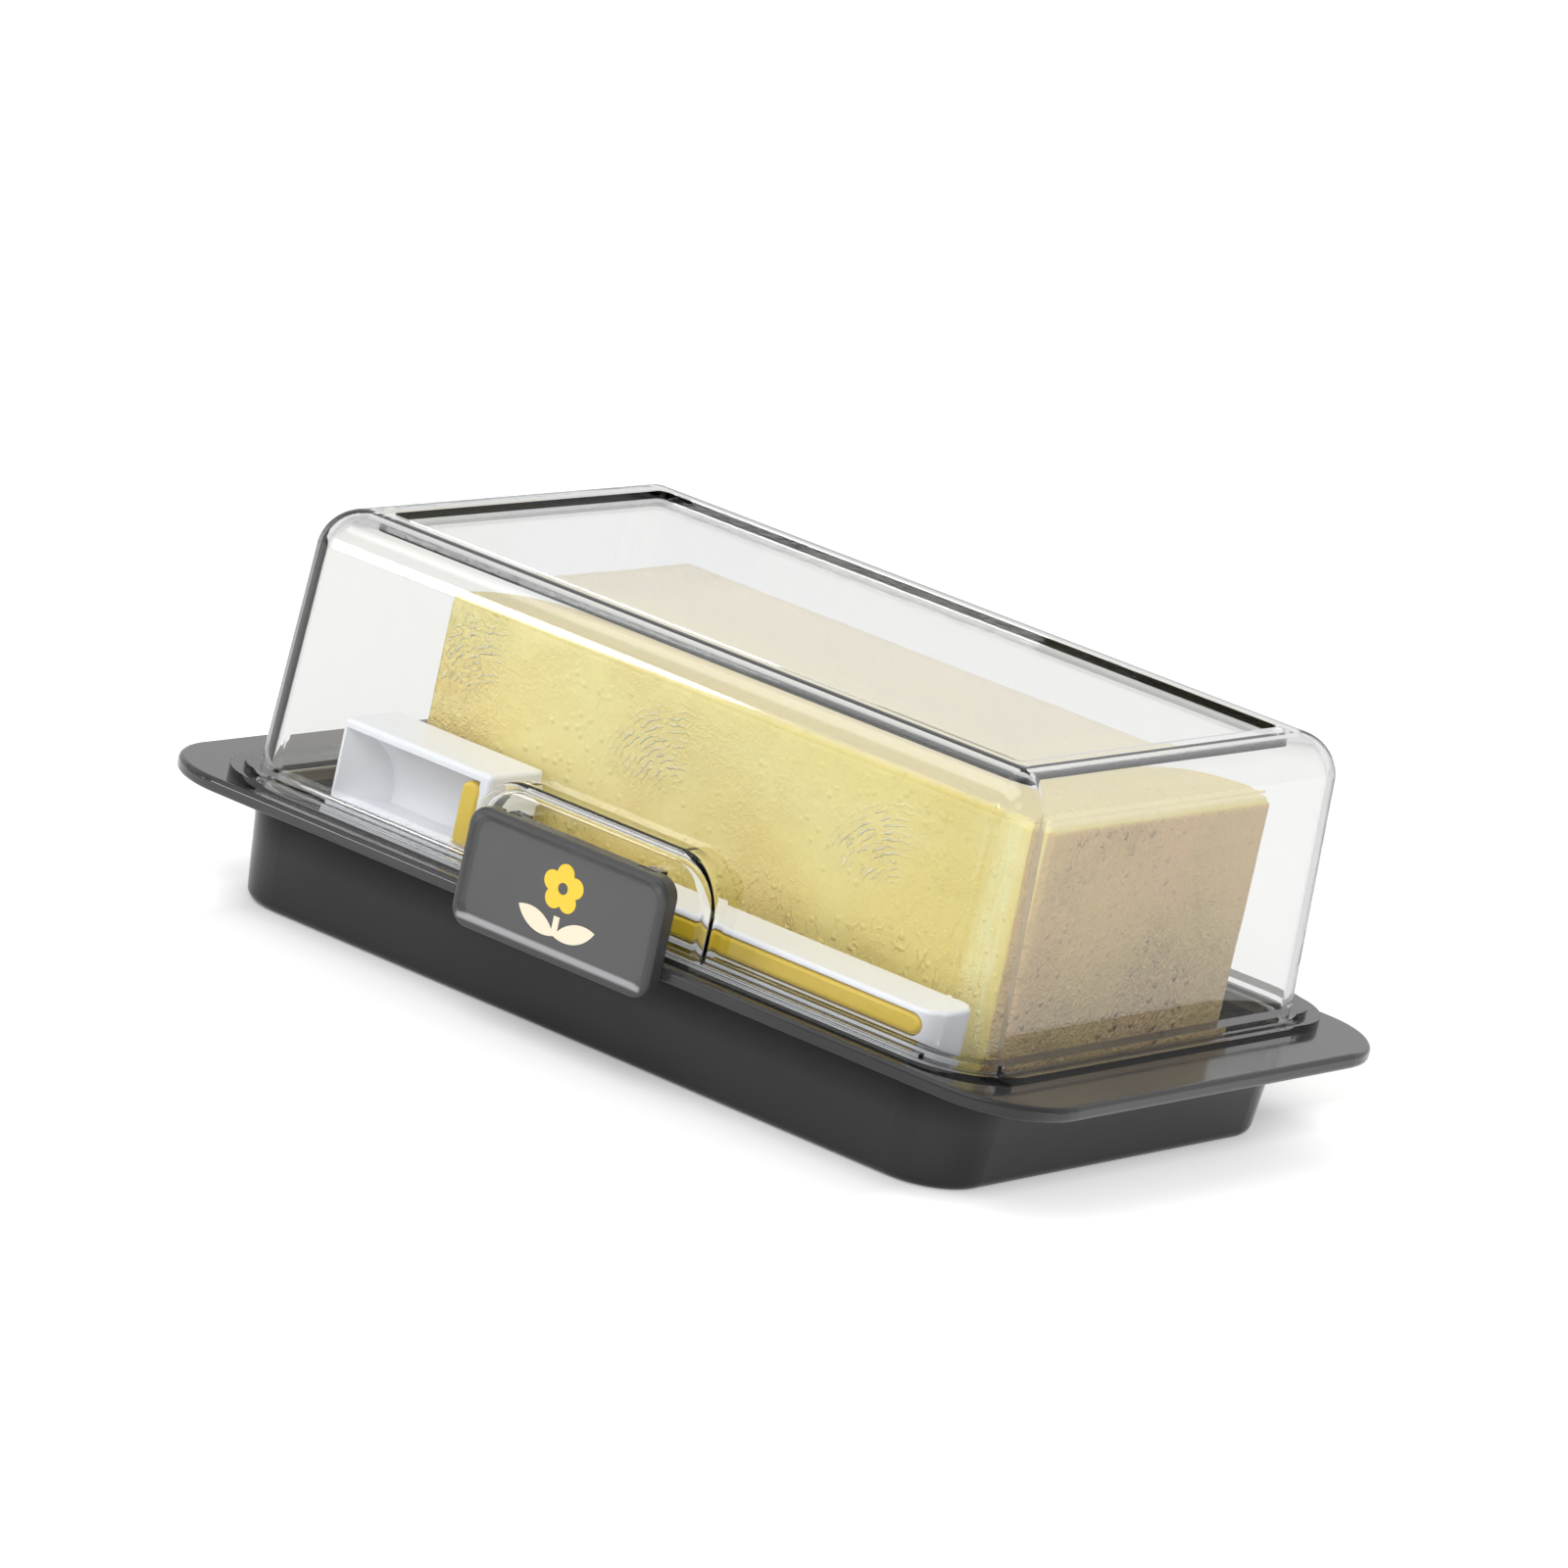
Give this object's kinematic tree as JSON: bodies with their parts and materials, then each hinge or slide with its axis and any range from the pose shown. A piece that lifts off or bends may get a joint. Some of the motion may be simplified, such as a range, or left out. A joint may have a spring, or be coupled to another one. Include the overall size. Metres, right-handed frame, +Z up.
{
  "type": "butter dish with cutter",
  "caption": "Rectangular butter dish: dark tray with a wide flange, clear deep lid held by a hinged front latch, a butter block and a wire cutter standing beside it.",
  "frame": {"origin": "centre of the tray's underside, on the surface the dish stands on", "axes": "+X along the dish, the latch faces -Y, +Z up"},
  "size_m": [0.1864, 0.1167, 0.0694],
  "materials": {
    "base_plastic": "satin moulded, glossy on the flange",
    "clear_plastic": "polished, clear",
    "latch_plastic": "satin",
    "pin_steel": "drawn",
    "yellow_plastic": "glossy",
    "cream_plastic": "satin",
    "white_plastic": "satin white",
    "wire_steel": "drawn, bright",
    "butter": "soft and waxy"
  },
  "bodies": {
    "base": {"base_tray": "base_plastic"},
    "lid": {"lid_shell": "clear_plastic", "latch_pin": "pin_steel"},
    "latch": {"latch_plate": "latch_plastic", "latch_blossom": "yellow_plastic", "latch_leaves": "cream_plastic"},
    "cutter": {"cutter_frame": "white_plastic", "cutter_grip": "yellow_plastic", "cutter_wire": "wire_steel", "wire_ferrules": "wire_steel"},
    "butter": {"butter_block": "butter"}
  },
  "joints": [
    {"name": "lid_lift", "type": "slide", "parent": "base", "child": "lid", "axis": [0, 0, 1], "range_m": [0, 0.06]},
    {"name": "latch_swing", "type": "hinge", "parent": "lid", "child": "latch", "pos_m": [-0.0005, -0.05595, 0.0333], "axis": [-1, 0, 0], "range_deg": [0, 80]},
    {"name": "cutter_lift", "type": "slide", "parent": "base", "child": "cutter", "axis": [0, 0, 1], "range_m": [0, 0.022]},
    {"name": "butter_lift", "type": "slide", "parent": "base", "child": "butter", "axis": [0, 0, 1], "range_m": [0, 0.007]}
  ]
}
